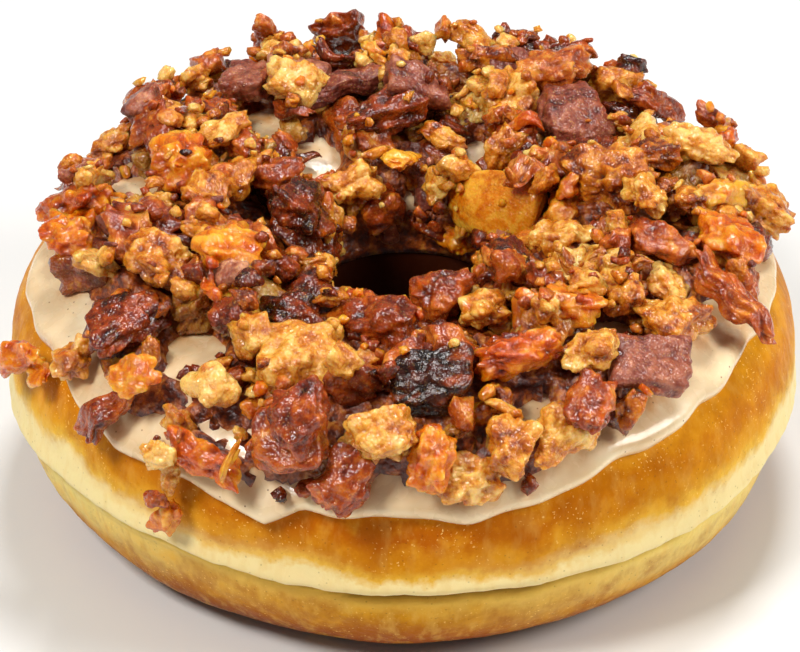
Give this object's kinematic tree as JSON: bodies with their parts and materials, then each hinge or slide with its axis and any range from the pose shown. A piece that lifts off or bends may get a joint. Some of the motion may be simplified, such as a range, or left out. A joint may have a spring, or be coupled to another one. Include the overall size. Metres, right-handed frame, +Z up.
{
  "type": "iced ring doughnut with bacon",
  "caption": "Whole raised ring doughnut with a flat base, poured icing on top and a heap of chopped bacon on the icing.",
  "frame": {"origin": "middle of the hole, at the height of the flat base", "axes": "+Z up through the hole, -Y towards the side where the icing runs lowest"},
  "size_m": [0.0968, 0.0974, 0.0424],
  "materials": {
    "fried_dough": "fried golden-brown crust, paler above the crease",
    "maple_icing": "set icing with a soft gloss",
    "chopped_bacon": "greasy, golden to red-brown",
    "lean_bacon": "dark red-brown, fibrous, greasy",
    "mauve_lean": "dull mauve with redder edges",
    "burnt_bacon": "near black, greasy",
    "golden_fat": "crisp golden fat, bubbly and glossy",
    "amber_fat": "amber, half clear, glossy"
  },
  "bodies": {
    "root": {"dough_ring": "fried_dough", "icing": "maple_icing", "bacon_heap": "chopped_bacon", "lean_slab_left": "lean_bacon", "red_strip_left": "lean_bacon", "pale_nugget": "golden_fat", "orange_curl_front": "amber_fat", "golden_nub": "golden_fat", "brown_lump_front": "lean_bacon", "pale_crumble_front": "golden_fat", "burnt_block": "burnt_bacon", "tan_crumble_front": "golden_fat", "orange_strip_front": "amber_fat", "mauve_block_right": "mauve_lean", "brown_strip_right": "lean_bacon", "orange_crumble_right": "amber_fat", "fat_slab_hole": "golden_fat", "mauve_block_back": "mauve_lean", "lean_tip_back": "lean_bacon", "brown_slab_back": "lean_bacon", "tan_crumble_hole": "golden_fat", "golden_lobe_back": "golden_fat", "arch_strip_left": "golden_fat"}
  },
  "joints": []
}
